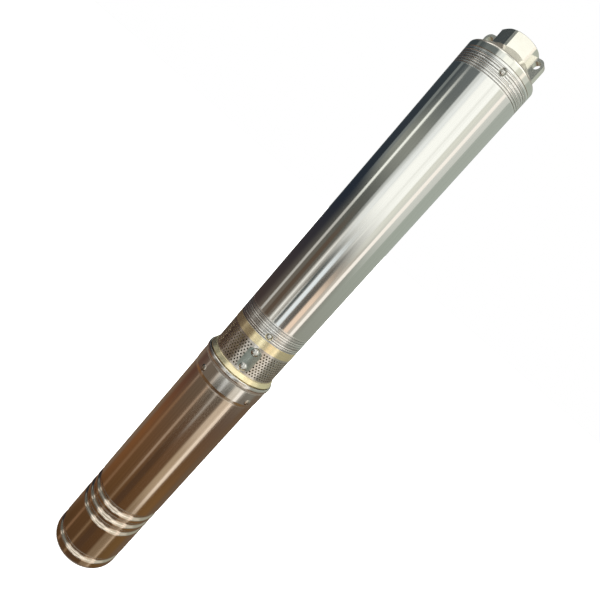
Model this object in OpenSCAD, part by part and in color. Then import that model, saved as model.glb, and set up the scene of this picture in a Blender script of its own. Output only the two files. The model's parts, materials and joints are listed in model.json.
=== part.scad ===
// Borehole submersible pump: a multistage centrifugal pump on top of an oil-filled motor.
// It stands upright with its base on z = 0 and its axis on Z. The strainer clip and the
// lock screws face -Y, and the cable leaves at the back, towards +Y.

/* [Motor shell] */
// Outer diameter of the motor shell
motor_d = 95; // [90:0.5:102]
// Height of the motor, from its base to the top of its collar
motor_l = 354; // [330:1:430]
// Sheet thickness of the motor shell
shell_wall = 1.5; // [1:0.1:2]
// Radius of the rounded edge at the base
base_round = 6; // [4:0.5:8]
// Width of the flat lip that is rolled in under the base
base_lip = 5; // [3:0.5:8]
// How far the collar at the top flares out beyond the shell
collar_flare = 0.6; // [0.3:0.1:1.2]
// How far the bead at the collar's rim stands out
rim_flare = 1.2; // [0.6:0.1:2]
// Height of the flared collar
collar_h = 31.5; // [28:0.5:40]
// Height of the groove that crimps the shell onto the bottom cover
crimp_z = 19.5; // [19:0.5:26]
// Number of rolled grooves that hold the lower bearing carrier
groove_n = 3; // [2:1:3]
// Height of the lowest groove's middle above the base
groove_z = 78.5; // [70:0.5:88]
// Distance between the grooves
groove_pitch = 15.3; // [13:0.1:18]
// Width of a rolled groove
groove_w = 12; // [9:0.2:12.6]
// Depth of a rolled groove
groove_depth = 2.6; // [1:0.1:2.8]
// Radius of the soft shoulders beside a rolled groove
groove_round = 3.5; // [1:0.5:4]

/* [Motor inside] */
// Diameter of the stator's bore
stator_bore = 50; // [44:0.5:56]
// Gap between rotor and stator
air_gap = 0.4; // [0.3:0.05:0.8]
// Number of winding slots
slot_n = 24; // [18:2:24]
// Height of the winding overhang at each end of the core
overhang_h = 19; // [14:0.5:24]
// Diameter of the motor shaft inside the rotor
rotor_shaft_d = 22; // [20:0.5:26]
// Diameter of the motor shaft in the seal and the coupling
drive_shaft_d = 16; // [14:0.5:16.5]
// Bore of the ball bearings
bearing_bore = 17; // [17:0.5:19]
// Outer diameter of the ball bearings
bearing_od = 40; // [38:0.5:42]
// Width of the ball bearings
bearing_w = 12; // [11:0.5:13]
// Number of balls in a bearing
ball_n = 8; // [7:1:8]

/* [Intake] */
// Height of the lower brass ring
lower_ring_h = 7; // [6:0.5:10]
// Height of the perforated strainer
strainer_h = 39; // [35:0.5:50]
// Sheet thickness of the strainer
strainer_wall = 0.8; // [0.6:0.1:1.2]
// Diameter of the strainer's holes
hole_d = 2.2; // [1.6:0.1:2.4]
// Distance between the strainer's holes
hole_pitch = 4; // [3.8:0.1:6]
// Height of the upper brass ring
upper_ring_h = 11; // [9:0.5:16]
// Width of the clip that covers the strainer's seam
clip_w = 18; // [15:0.5:24]
// Height of the clip
clip_h = 29; // [27:0.5:33]
// Thickness of the clip
clip_t = 1.2; // [0.8:0.1:2]
// Width of the notch where the cable leaves
cable_notch_w = 16; // [12:0.5:18]

/* [Pump tube] */
// Outer diameter of the pump tube
tube_d = 88; // [86:0.5:92]
// Wall thickness of the pump tube
tube_wall = 2.2; // [1.8:0.1:2.6]
// Length of the pump tube
tube_l = 384; // [340:1:435]
// Height of the grooved grip band at the lower end
lower_band_h = 23.5; // [20:0.5:30]
// Height of the grooved grip band at the upper end
upper_band_h = 20.5; // [18:0.5:28]
// Distance between the grooves of a grip band
band_pitch = 2.4; // [2:0.1:3]
// Depth of the grooves of a grip band
band_depth = 0.5; // [0.3:0.05:0.7]

/* [Pump stages] */
// Height of one stage
stage_h = 38; // [36:0.5:46]
// Gap between an impeller and the wall of its stage bowl
impeller_gap = 2.7; // [1.5:0.1:5]
// Width of the impeller's outlet between its shrouds
impeller_outlet = 7; // [5:0.25:8]
// Number of impeller vanes
vane_n = 6; // [5:1:7]
// Number of return vanes in a stage bowl
return_vane_n = 7; // [5:1:8]
// Width across flats of the hexagonal pump shaft
shaft_af = 12; // [10:0.5:12.5]

/* [Discharge head] */
// Height of the head's flange
flange_h = 9.4; // [8:0.2:14]
// Height of the shoulder between the flange and the hexagon
shoulder_h = 12.5; // [10:0.5:18]
// Height of the hexagon
hex_h = 17.6; // [15:0.1:24]
// Width across flats of the hexagon
hex_af = 46.5; // [46:0.5:54]
// Diameter of the pipe thread's bore
port_d = 41.9; // [40:0.1:42]
// Depth of the pipe thread's bore
port_l = 22; // [18:0.5:26]
// Angle at which the screwed-in head comes to rest
head_turn = -5; // [-30:1:30]
// Diameter of the eyes for the safety rope
eye_d = 8.6; // [7:0.2:9]
// Thickness of the lugs around the eyes
lug_t = 8; // [6:0.5:10]
// Lift of the check valve
valve_lift = 8; // [5:0.5:8]

/* [Clearances] */
// Radial clearance of a seated round fit
fit = 0.05; // [0.03:0.01:0.08]
// Clearance of a running surface
run = 0.3; // [0.25:0.05:0.4]

/* [Hidden] */
$fn = 96;
eps = 0.02;

// Radii that several pieces share
motor_r = motor_d / 2;
shell_in_r = motor_r - shell_wall;
collar_r = motor_r + collar_flare;
rim_r = collar_r + rim_flare;
collar_in_r = collar_r - shell_wall;
tube_r = tube_d / 2;
tube_in_r = tube_r - tube_wall;
strainer_r = tube_r - 0.2;
strainer_in_r = strainer_r - strainer_wall;
journal_r = bearing_bore / 2;
drive_r = drive_shaft_d / 2;
shaft_corner_r = shaft_af / 2 / cos(30);
port_r = port_d / 2;
hex_r = hex_af / 2 / cos(30);

// Motor, from the base upwards
cover_foot_z = shell_wall;
cover_z = base_round;
cover_margin = 2.5;
cover_ring_z = (cover_z + crimp_z - groove_w / 2) / 2;
rim_z = crimp_z + groove_w / 2 + cover_margin;
rim_t = 2.5;
diaphragm_h = 22;
diaphragm_wall = 2;
carrier_z = rim_z + rim_t;
groove_arc_r = (groove_w * groove_w / 4 + groove_depth * groove_depth) / (2 * groove_depth)
    - groove_round;
groove_x = motor_r - groove_depth + groove_arc_r;
groove_zs = [for (i = [0 : groove_n - 1]) groove_z + i * groove_pitch];
rolled_zs = concat([crimp_z], groove_zs);
groove_margin = 6;
carrier_top = groove_zs[groove_n - 1] + groove_w / 2 + groove_margin;
bearing_inset = 2;
lower_bearing_z = carrier_top - bearing_w - bearing_inset;
collar_z = motor_l - collar_h;
flare_h = 4;
bulge_h = 10;
bulge_drop = 3.5;
bulge_arc_r = (bulge_h * bulge_h / 4 + rim_flare * rim_flare) / (2 * rim_flare);
rim_edge = 1;
head_z = collar_z + flare_h + 2 * run;
head_skirt_w = 5;
head_skirt_r = collar_in_r - head_skirt_w;
head_plate_h = 15;
head_boss_z = head_z - 12;
upper_bearing_z = head_boss_z + 1;
core_gap = 3;
core_z = carrier_top + core_gap + overhang_h;
core_top = head_boss_z - core_gap - overhang_h;
core_r = shell_in_r - fit;
rotor_r = stator_bore / 2 - air_gap;
seal_z = motor_l - 10;
seal_r = 15;
pilot_h = 3;
pilot_r = 26;

// Ball bearings
ball_orbit_r = (bearing_bore + bearing_od) / 4;
ball_d = (bearing_od - bearing_bore) * 0.3;
land = ball_d * 0.28;

// Intake, from the motor upwards
mesh_z = motor_l + lower_ring_h;
mesh_top = mesh_z + strainer_h;
tube_z = mesh_top + upper_ring_h;
rib_n = 5;
rib_w = 12;
rib_in_r = strainer_in_r - 8.5;
throat_r = strainer_in_r - 13.5;
spigot_l = 20;
ring_edge = 0.8;
ring_step = 1.5;
ring_relief_h = 1;
ring_relief_w = 2;
spigot_wall = 5;
bolt_orbit_r = strainer_in_r - 8.5;
bolt_d = 6;
gland_orbit_r = strainer_in_r - 10.5;
gland_r = 7;
cable_r = 4.2;
gland_h = 13;

// Coupling between the two shafts
coupling_z = motor_l + 14;
coupling_l = 34;
coupling_r = drive_r + 4.5;
shaft_split_z = coupling_z + coupling_l / 2;
flat_cut = 1.2;

// Sleeves and bushes that carry the pump shaft
sleeve_r = shaft_corner_r + 2;
bush_r = sleeve_r + 3;
bush_hub_r = bush_r + 3;
bush_l = 16;
intake_bush_z = tube_z - 4;

// Stages: as many as the tube holds below the top bearing
tube_top = tube_z + tube_l;
head_spigot_l = 22;
stack_z = tube_z + spigot_l;
stack_top = tube_top - head_spigot_l;
spider_h = 14;
stage_n = floor((stack_top - stack_z - spider_h - 4) / stage_h);
spider_z = stack_z + stage_n * stage_h;
bowl_r = tube_in_r - 2 * fit;
bowl_wall = 1.5;
bowl_in_r = bowl_r - bowl_wall;
plate_t = 2;
shroud_t = 1.5;
hub_r = shaft_corner_r + 2.2;
eye_r = 13.4;
wear_ring_r = eye_r + run + 1.8;
impeller_r = bowl_in_r - impeller_gap;
impeller_z = 3;
chamber_h = impeller_z + 2 * shroud_t + impeller_outlet + 2.5;
deck_t = 2;
deck_r = bowl_in_r - 6.5;
hub_top = chamber_h + deck_t + 3;
return_in_r = eye_r + 3;
shaft_top = spider_z + spider_h;

// Discharge head and its check valve
flange_z = tube_top;
shoulder_z = flange_z + flange_h;
hex_z = shoulder_z + shoulder_h;
head_top = hex_z + hex_h;
port_z = head_top - port_l;
chamber_r = port_r + 3;
seat_wall = 4;
flange_edge = 3;
edge_break = 0.4;
corner_turn = 0.9;
lug_r = 7.2;
lug_orbit_r = tube_r - 12;
lug_z = hex_z + 4.6;
seat_z = stack_top + 2;
seat_h = 7;
seat_bore_r = 15;
valve_gap = 0.05;
seal_washer_z = seat_z + seat_h + valve_gap;
seal_washer_t = 2;
poppet_z = seal_washer_z + seal_washer_t;
poppet_r = 19;
poppet_t = 4;
stem_r = 3;
guide_t = 5;
guide_z = port_z - guide_t;
guide_hub_r = 6.5;
guide_hub_z = guide_z - 3;
spring_wire_r = 0.6;
spring_r = 4.7;
spring_turns = 4;
spring_z = poppet_z + poppet_t;
spring_h = guide_hub_z - spring_z;
spring_rings = 14;
spring_sides = 8;

// Fasteners: head diameter, head height, shank diameter
lock_screw = [7.6, tube_wall + 0.6, 4];
lock_hole_d = lock_screw[0] + 1.4;
clip_screw = [10.6, 3.4, 5];
collar_screw = [9.2, 1.8, 5];
collar_screw_z = collar_z + 9;
collar_screw_n = 4;
clip_z = mesh_z + (strainer_h - clip_h) / 2;
clip_screw_inset = 3.2;
clip_screw_zs = [clip_z + clip_screw_inset, clip_z + clip_h - clip_screw_inset];
lower_lock_z = tube_z + 6;
upper_lock_z = tube_top - 7.5;
lock_zs = [lower_lock_z, upper_lock_z];
screw_grip = 5;

stainless = [0.78, 0.78, 0.77];
warm_stainless = [0.60, 0.52, 0.44];
brass = [0.80, 0.66, 0.36];
nickel = [0.88, 0.86, 0.78];
castiron = [0.34, 0.35, 0.36];
rubber = [0.10, 0.10, 0.11];
copper = [0.72, 0.40, 0.22];
laminate = [0.48, 0.49, 0.51];
polymer = [0.90, 0.89, 0.84];

// A ring of revolution between two radii
module ring(r_in, r_out, z, h) {
    translate([0, 0, z]) difference() {
        cylinder(r = r_out, h = h);
        translate([0, 0, -1]) cylinder(r = r_in, h = h + 2);
    }
}

// Puts a shape on the pump's side, its own Z pointing outwards
module on_side(angle, r, z) {
    rotate([0, 0, angle]) translate([0, -r, z]) rotate([90, 0, 0]) children();
}

// A drilled hole from the side, through everything from one radius to another
module side_hole(angle, d, r_from, r_to, z) {
    on_side(angle, r_from, z) cylinder(d = d, h = r_to - r_from);
}

// A domed screw with a crossed slot, its head on z = 0
module dome_screw(size, shank_l) {
    head_r = size[0] / 2;
    dome_r = (size[1] * size[1] + head_r * head_r) / (2 * size[1]);
    slot_w = size[0] * 0.13;
    slot_l = size[0] * 0.56;
    difference() {
        intersection() {
            cylinder(r = head_r, h = size[1]);
            translate([0, 0, size[1] - dome_r]) sphere(r = dome_r);
        }
        for (a = [0, 90]) rotate([0, 0, a])
            translate([-slot_l / 2, -slot_w / 2, size[1] * 0.5]) cube([slot_l, slot_w, size[1]]);
    }
    translate([0, 0, -shank_l]) cylinder(d = size[2], h = shank_l + eps);
}

// Motor shell

// Half section of a cup with a rounded lower edge
module cup_section(r, z, edge_r, h) {
    translate([0, z]) square([r - edge_r, h]);
    translate([0, z + edge_r]) square([r, h - edge_r]);
    translate([r - edge_r, z + edge_r]) circle(edge_r);
}

// Half section of the collar: a soft flare, then a bead at the rim
module collar_section() {
    intersection() {
        union() {
            polygon([[0, 0], [motor_r, 0], [collar_r, flare_h], [collar_r, collar_h], [0, collar_h]]);
            translate([rim_r - bulge_arc_r, collar_h - bulge_drop]) circle(bulge_arc_r);
        }
        polygon([[0, 0], [rim_r, 0], [rim_r, collar_h - rim_edge], [rim_r - rim_edge, collar_h],
            [0, collar_h]]);
    }
}

// Half section of what a rolled groove takes away: an arc between two rounded shoulders
module groove_section() {
    shoulder_x = motor_r - groove_round;
    half_w = groove_w / 2;
    translate([groove_x, 0]) circle(groove_arc_r);
    difference() {
        polygon([[groove_x, 0], [shoulder_x, half_w], [motor_r + 1, half_w],
            [motor_r + 1, -half_w], [shoulder_x, -half_w]]);
        for (side = [-1, 1]) translate([shoulder_x, side * half_w]) circle(groove_round);
    }
}

module shell_section() {
    difference() {
        union() {
            cup_section(motor_r, 0, base_round, collar_z + eps);
            translate([0, collar_z]) collar_section();
        }
        difference() {
            union() {
                cup_section(shell_in_r, shell_wall, base_round - shell_wall, collar_z);
                translate([0, collar_z]) polygon([[0, 0], [shell_in_r, 0], [collar_in_r, flare_h],
                    [collar_in_r, collar_h + 1], [0, collar_h + 1]]);
            }
            for (z = rolled_zs) translate([groove_x, z]) circle(groove_arc_r + shell_wall);
        }
        for (z = rolled_zs) translate([0, z]) groove_section();
        translate([0, -1]) square([motor_r - base_round - base_lip, shell_wall + 2]);
    }
}

module motor_shell() {
    color(warm_stainless) difference() {
        rotate_extrude() shell_section();
        for (i = [0 : collar_screw_n - 1])
            side_hole(45 + i * 360 / collar_screw_n, collar_screw[2] + 2 * fit,
                collar_in_r - 2, collar_r + 2, collar_screw_z);
    }
}

module collar_screws() {
    color(stainless) for (i = [0 : collar_screw_n - 1])
        on_side(45 + i * 360 / collar_screw_n, collar_r, collar_screw_z)
            dome_screw(collar_screw, shell_wall + screw_grip - 1);
}

// Bottom of the motor: cover, pressure-equalising diaphragm, bearing carrier

o_ring_r = 1.3;

// Groove for an O-ring that seals on a bore of radius r
module o_ring_groove(r, z) {
    translate([r - 2 * o_ring_r - 3 * fit, z - o_ring_r - 2 * fit])
        square([3 * o_ring_r, 2 * o_ring_r + 4 * fit]);
}

module o_ring(r, z) {
    color(rubber) rotate_extrude() translate([r - o_ring_r - fit, z]) circle(o_ring_r);
}

vent_n = 4;

module bottom_cover() {
    foot_r = motor_r - base_round - 1;
    web_t = 8;
    hollow_r = foot_r - 12;
    hollow_h = 4;
    recess_r = shell_in_r - 14;
    recess_z = cover_foot_z + hollow_h + web_t;
    vent_d = 5;
    color(castiron) difference() {
        rotate_extrude() difference() {
            union() {
                translate([0, cover_foot_z]) square([foot_r, cover_z - cover_foot_z + eps]);
                translate([0, cover_z]) square([shell_in_r - fit, rim_z - cover_z]);
            }
            translate([0, recess_z]) square([recess_r, rim_z]);
            square([hollow_r, cover_foot_z + hollow_h]);
            o_ring_groove(shell_in_r, cover_ring_z);
            translate([groove_x, crimp_z]) circle(groove_arc_r + shell_wall + fit);
        }
        for (i = [0 : vent_n - 1]) rotate([0, 0, i * 360 / vent_n])
            translate([foot_r / 3, 0, 0]) cylinder(d = vent_d, h = rim_z);
    }
}

module diaphragm() {
    hat_r = shell_in_r - 16;
    hat_round = 6;
    color(rubber) rotate_extrude() difference() {
        union() {
            translate([0, rim_z]) square([shell_in_r - fit, rim_t]);
            translate([0, rim_z]) square([hat_r, diaphragm_h - hat_round]);
            translate([0, rim_z]) square([hat_r - hat_round, diaphragm_h]);
            translate([hat_r - hat_round, rim_z + diaphragm_h - hat_round]) circle(hat_round);
        }
        translate([0, rim_z - 1]) square([hat_r - diaphragm_wall, diaphragm_h - hat_round + 1]);
        translate([0, rim_z - 1]) square([hat_r - hat_round, diaphragm_h - diaphragm_wall + 1]);
        translate([hat_r - hat_round, rim_z + diaphragm_h - hat_round]) circle(hat_round - diaphragm_wall);
    }
}

module lower_bearing_carrier() {
    seat_r = bearing_od / 2 + fit;
    web_z = groove_zs[0] - groove_w / 2 - groove_margin;
    skirt_w = 4;
    bore_r = journal_r + 4;
    oil_hole_n = 4;
    oil_hole_d = 8;
    color(castiron) difference() {
        rotate_extrude() difference() {
            translate([0, carrier_z]) square([shell_in_r - fit, carrier_top - carrier_z]);
            translate([0, carrier_z - 1]) square([shell_in_r - skirt_w, web_z - carrier_z + 1]);
            translate([0, lower_bearing_z]) square([seat_r, bearing_w + 10]);
            translate([0, carrier_z]) square([bore_r, carrier_top]);
            for (z = groove_zs) translate([groove_x, z]) circle(groove_arc_r + shell_wall + fit);
        }
        for (i = [0 : oil_hole_n - 1]) rotate([0, 0, i * 360 / oil_hole_n])
            translate([(seat_r + shell_in_r) / 2, 0, carrier_z]) cylinder(d = oil_hole_d, h = carrier_top);
    }
}

// Ball bearings

module outer_race(z) {
    color(stainless) translate([0, 0, z]) rotate_extrude() difference() {
        translate([ball_orbit_r + land, 0]) square([bearing_od / 2 - ball_orbit_r - land, bearing_w]);
        translate([ball_orbit_r, bearing_w / 2]) circle(ball_d / 2 + fit);
    }
}

module inner_race(z) {
    color(stainless) translate([0, 0, z]) rotate_extrude() difference() {
        translate([journal_r, 0]) square([ball_orbit_r - land - journal_r, bearing_w]);
        translate([ball_orbit_r, bearing_w / 2]) circle(ball_d / 2 + fit);
    }
}

// Balls in the pockets of their cage
module ball_set(z) {
    cage_t = 2 * (land - 2 * run - fit);
    cage_h = bearing_w - 2.5;
    color(stainless) translate([0, 0, z + bearing_w / 2]) {
        for (i = [0 : ball_n - 1]) rotate([0, 0, i * 360 / ball_n])
            translate([ball_orbit_r, 0, 0]) sphere(d = ball_d);
        difference() {
            ring(ball_orbit_r - cage_t / 2, ball_orbit_r + cage_t / 2, -cage_h / 2, cage_h);
            for (i = [0 : ball_n - 1])
                side_hole(90 + i * 360 / ball_n, ball_d + 4 * fit,
                    ball_orbit_r - land, ball_orbit_r + land, 0);
        }
    }
}

// Stator, rotor and shaft

slot_w = 3.4;
slot_in_r = stator_bore / 2 + 2.2;
slot_out_r = slot_in_r + (shell_in_r - slot_in_r) * 0.62;

module slots_2d(gap) {
    for (i = [0 : slot_n - 1]) rotate(i * 360 / slot_n)
        translate([slot_in_r + gap, -slot_w / 2 + gap])
            square([slot_out_r - slot_in_r - 2 * gap, slot_w - 2 * gap]);
}

module stator_core() {
    color(laminate) translate([0, 0, core_z]) linear_extrude(core_top - core_z) difference() {
        circle(core_r);
        circle(stator_bore / 2);
        slots_2d(0);
    }
}

// Half section of one winding overhang, rounded at its free end
module overhang_section() {
    w = slot_out_r - slot_in_r;
    round_r = w / 3;
    translate([slot_in_r, 0]) square([w, overhang_h - round_r]);
    translate([slot_in_r + round_r, 0]) square([w - 2 * round_r, overhang_h]);
    for (x = [round_r, w - round_r]) translate([slot_in_r + x, overhang_h - round_r]) circle(round_r);
}

module stator_windings() {
    color(copper) {
        translate([0, 0, core_z - eps]) linear_extrude(core_top - core_z + 2 * eps) slots_2d(2 * fit);
        translate([0, 0, core_top]) rotate_extrude() overhang_section();
        translate([0, 0, core_z]) mirror([0, 0, 1]) rotate_extrude() overhang_section();
    }
}

module rotor_core() {
    end_ring_h = 7;
    end_ring_w = 7.2;
    end_ring_inset = 0.8;
    color(laminate) rotate_extrude() {
        translate([rotor_shaft_d / 2 + fit, core_z])
            square([rotor_r - rotor_shaft_d / 2 - fit, core_top - core_z]);
        for (z = [core_z - end_ring_h, core_top])
            translate([rotor_r - end_ring_inset - end_ring_w, z]) square([end_ring_w, end_ring_h]);
    }
}

// Two flats on a round shaft end, or in the bore that takes it
module flatted_round(r, h) {
    intersection() {
        cylinder(r = r, h = h);
        translate([-r, -r + flat_cut, 0]) cube([2 * r, 2 * (r - flat_cut), h]);
    }
}

module motor_shaft() {
    tail = 6;
    color(stainless) {
        translate([0, 0, lower_bearing_z - tail]) cylinder(r = journal_r - fit, h = tail + bearing_w + eps);
        translate([0, 0, lower_bearing_z + bearing_w])
            cylinder(d = rotor_shaft_d, h = upper_bearing_z - lower_bearing_z - bearing_w);
        translate([0, 0, upper_bearing_z - eps]) cylinder(r = journal_r - fit, h = bearing_w + eps);
        translate([0, 0, upper_bearing_z + bearing_w - eps])
            cylinder(r = drive_r, h = coupling_z - upper_bearing_z - bearing_w + eps);
        translate([0, 0, coupling_z - eps]) flatted_round(drive_r, shaft_split_z - coupling_z - 0.5);
    }
}

// Motor head with the shaft seal and the cable gland

head_ring_z = motor_l - 5;
shaft_play = 2;

module motor_head() {
    boss_r = bearing_od / 2 + 5;
    relief_r = boss_r + 3;
    color(castiron) difference() {
        rotate_extrude() difference() {
            union() {
                translate([0, head_z]) square([collar_in_r - fit, motor_l - head_z]);
                translate([0, motor_l - eps]) square([pilot_r, pilot_h + eps]);
                translate([0, head_boss_z]) square([boss_r, head_z - head_boss_z + eps]);
            }
            translate([relief_r, head_z - 1])
                square([head_skirt_r - relief_r, motor_l - head_plate_h - head_z + 1]);
            translate([0, head_boss_z - 1]) square([bearing_od / 2 + fit, bearing_w + 2]);
            translate([0, head_boss_z]) square([journal_r + shaft_play, motor_l]);
            translate([0, seal_z]) square([seal_r, motor_l]);
            o_ring_groove(collar_in_r, head_ring_z);
        }
        for (i = [0 : collar_screw_n - 1])
            side_hole(45 + i * 360 / collar_screw_n, collar_screw[2] + 2 * fit,
                head_skirt_r - 1, collar_r + 1, collar_screw_z);
        for (a = bolt_angles) rotate([0, 0, a]) translate([0, -bolt_orbit_r, motor_l - bolt_depth - 1])
            cylinder(d = bolt_d + 2 * fit, h = bolt_depth + 2);
        translate([0, gland_orbit_r, head_z - 1]) cylinder(r = gland_r - 1 + fit, h = motor_l);
    }
}

seal_seat_h = 8;

module seal_seat() {
    color(polymer) ring(drive_r + 1, seal_r - fit, seal_z, seal_seat_h);
}

// Sealing face, bellows and drive collar
module rotary_seal() {
    face_z = seal_z + seal_seat_h + valve_gap;
    face_w = 5;
    face_h = 4;
    bellows_w = 2.4;
    bellows_h = 5;
    collar_w = 4;
    drive_z = face_z + face_h + bellows_h;
    color(rubber) rotate_extrude() {
        translate([drive_r + fit, face_z]) square([face_w, face_h]);
        translate([drive_r + fit, face_z + face_h - eps]) square([bellows_w, bellows_h + 2 * eps]);
        translate([drive_r + fit, drive_z]) square([collar_w, coupling_z - drive_z - run]);
    }
}

module cable_gland() {
    body_z = motor_l - head_plate_h;
    color(stainless) translate([0, gland_orbit_r, 0]) difference() {
        union() {
            translate([0, 0, body_z]) cylinder(r = gland_r - 1, h = motor_l + lower_ring_h - body_z + eps);
            translate([0, 0, motor_l + lower_ring_h])
                cylinder(r = gland_r, h = gland_h - lower_ring_h, $fn = 6);
        }
        translate([0, 0, body_z - 1]) cylinder(r = cable_r, h = gland_h + head_plate_h + 2);
    }
}

// Intake housing, strainer and clip

bolt_angles = [for (k = [-1.5, -0.5, 0.5, 1.5]) k * 360 / rib_n];
bolt_depth = 11;
arm_w = 5;

// Half section of the lower brass ring, which tapers from the motor's collar to the strainer
module lower_ring_section() {
    foot_r = max(collar_r, tube_r + 2) - ring_edge;
    foot_z = motor_l + ring_relief_h;
    top_r = strainer_r + ring_step;
    difference() {
        union() {
            polygon([[0, foot_z], [foot_r, foot_z], [foot_r, foot_z + ring_edge],
                [top_r, mesh_z - ring_edge], [0, mesh_z - ring_edge]]);
            translate([0, motor_l]) square([foot_r - ring_relief_w, ring_relief_h + eps]);
            translate([0, foot_z]) square([top_r - ring_edge, mesh_z - foot_z]);
            translate([top_r - ring_edge, mesh_z - ring_edge]) circle(ring_edge);
        }
        translate([0, motor_l - 1]) square([pilot_r + fit, pilot_h + 1]);
        translate([0, motor_l - 1]) square([seal_r + 2, lower_ring_h + 2]);
    }
}

module upper_ring_section() {
    translate([throat_r, mesh_top]) square([tube_r - throat_r, upper_ring_h]);
    translate([tube_in_r - spigot_wall, mesh_top])
        square([spigot_wall - fit, upper_ring_h + spigot_l]);
}

module intake_housing() {
    color(brass) difference() {
        union() {
            rotate_extrude() lower_ring_section();
            rotate_extrude() upper_ring_section();
            for (i = [0 : rib_n - 1]) rotate([0, 0, i * 360 / rib_n]) intersection() {
                translate([-rib_w / 2, -strainer_in_r, mesh_z - 1])
                    cube([rib_w, strainer_in_r - rib_in_r, strainer_h + 2]);
                cylinder(r = strainer_in_r - fit, h = tube_z);
            }
            for (i = [0 : 2]) rotate([0, 0, 60 + i * 120])
                translate([-arm_w / 2, bush_hub_r - 1, intake_bush_z])
                    cube([arm_w, throat_r - bush_hub_r + 2, bush_l]);
            ring(bush_r + fit, bush_hub_r, intake_bush_z, bush_l);
        }
        for (a = bolt_angles) rotate([0, 0, a]) translate([0, -bolt_orbit_r, motor_l - 1])
            cylinder(d = bolt_d + 4 * fit, h = lower_ring_h + 2);
        translate([0, gland_orbit_r, motor_l - 1])
            cylinder(r = gland_r - 1 + 2 * fit, h = lower_ring_h + 2);
        for (z = clip_screw_zs)
            side_hole(0, clip_screw[2] + 2 * fit, strainer_r - screw_grip - 1.5, strainer_r + 1, z);
        side_hole(0, lock_screw[2] + 2 * fit, tube_in_r - screw_grip - 0.5, tube_r, lower_lock_z);
    }
}

module intake_bolts() {
    color(stainless) for (a = bolt_angles) rotate([0, 0, a]) translate([0, -bolt_orbit_r, 0]) {
        translate([0, 0, mesh_z]) cylinder(d = bolt_d * 1.9, h = bolt_d * 0.66, $fn = 6);
        translate([0, 0, motor_l - bolt_depth]) cylinder(d = bolt_d, h = bolt_depth + lower_ring_h + eps);
    }
}

seam_w = 1;
notch_top = mesh_top - 7;
holes_per_ring = 2 * floor(PI * strainer_r / hole_pitch);
row_pitch = hole_pitch * 0.86;
row_n = floor((strainer_h - hole_pitch) / row_pitch);
row_z = mesh_z + (strainer_h - (row_n - 1) * row_pitch) / 2;

// True where a hole is clear of the clip at the front and the notch at the back
function hole_shows(angle, z) =
    let (x = strainer_r * sin(angle), y = -strainer_r * cos(angle))
    (y > 0 || abs(x) > clip_w / 2 - hole_d)
    && (y < 0 || abs(x) > cable_notch_w / 2 + hole_d || z > notch_top + hole_d);

module strainer() {
    color(stainless) difference() {
        ring(strainer_in_r, strainer_r, mesh_z, strainer_h);
        translate([-seam_w / 2, -strainer_r - 1, mesh_z - 1]) cube([seam_w, 4, strainer_h + 2]);
        translate([-cable_notch_w / 2, strainer_r - 5, mesh_z - 1])
            cube([cable_notch_w, 6, notch_top - mesh_z + 1]);
        for (z = clip_screw_zs) side_hole(0, clip_screw[2] + 4 * fit, strainer_in_r - 1, strainer_r + 1, z);
        for (row = [0 : row_n - 1], i = [0 : holes_per_ring - 1])
            let (a = (i + (row % 2) / 2) * 360 / holes_per_ring, z = row_z + row * row_pitch)
            if (hole_shows(a, z)) side_hole(a, hole_d, strainer_in_r - 1, strainer_r + 1, z);
    }
}

// Curved plate with rounded corners over the strainer's seam, and a tab under each screw
module strainer_clip() {
    corner = 4;
    tab_r = clip_screw[0] / 2 - 0.6;
    color(stainless) difference() {
        intersection() {
            ring(strainer_r + fit, strainer_r + clip_t, clip_z - tab_r, clip_h + 2 * tab_r);
            on_side(0, strainer_r - 6, clip_z) linear_extrude(10) {
                translate([-clip_w / 2 + corner, 0]) square([clip_w - 2 * corner, clip_h]);
                translate([-clip_w / 2, corner]) square([clip_w, clip_h - 2 * corner]);
                for (x = [-1, 1], y = [corner, clip_h - corner])
                    translate([x * (clip_w / 2 - corner), y]) circle(corner);
                for (z = clip_screw_zs) translate([0, z - clip_z]) circle(tab_r);
            }
        }
        for (z = clip_screw_zs) side_hole(0, clip_screw[2] + 4 * fit, strainer_r - 1, strainer_r + 3, z);
    }
}

module strainer_screws() {
    color(stainless) for (z = clip_screw_zs)
        on_side(0, strainer_r + clip_t, z) dome_screw(clip_screw, clip_t + strainer_wall + screw_grip);
}

// Rotating train of the pump

module hex_bar(af, h) {
    cylinder(r = af / 2 / cos(30), h = h, $fn = 6);
}

module coupling() {
    color(stainless) difference() {
        translate([0, 0, coupling_z]) cylinder(r = coupling_r, h = coupling_l);
        translate([0, 0, coupling_z - 1]) flatted_round(drive_r + fit, shaft_split_z - coupling_z + 1);
        translate([0, 0, shaft_split_z - eps]) hex_bar(shaft_af + 2 * fit, coupling_l);
    }
}

module pump_shaft() {
    color(stainless) translate([0, 0, shaft_split_z + 0.5])
        hex_bar(shaft_af, shaft_top - shaft_split_z - 0.5);
}

module shaft_sleeves() {
    color(stainless) for (z = [intake_bush_z, spider_z]) difference() {
        translate([0, 0, z]) cylinder(r = sleeve_r, h = (z == spider_z) ? spider_h : bush_l);
        translate([0, 0, z - 1]) hex_bar(shaft_af + 2 * fit, bush_l + spider_h);
    }
}

module shaft_bushes() {
    color(rubber) {
        ring(sleeve_r + fit, bush_r, intake_bush_z, bush_l);
        ring(sleeve_r + fit, bush_r, spider_z, spider_h);
    }
}

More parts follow.
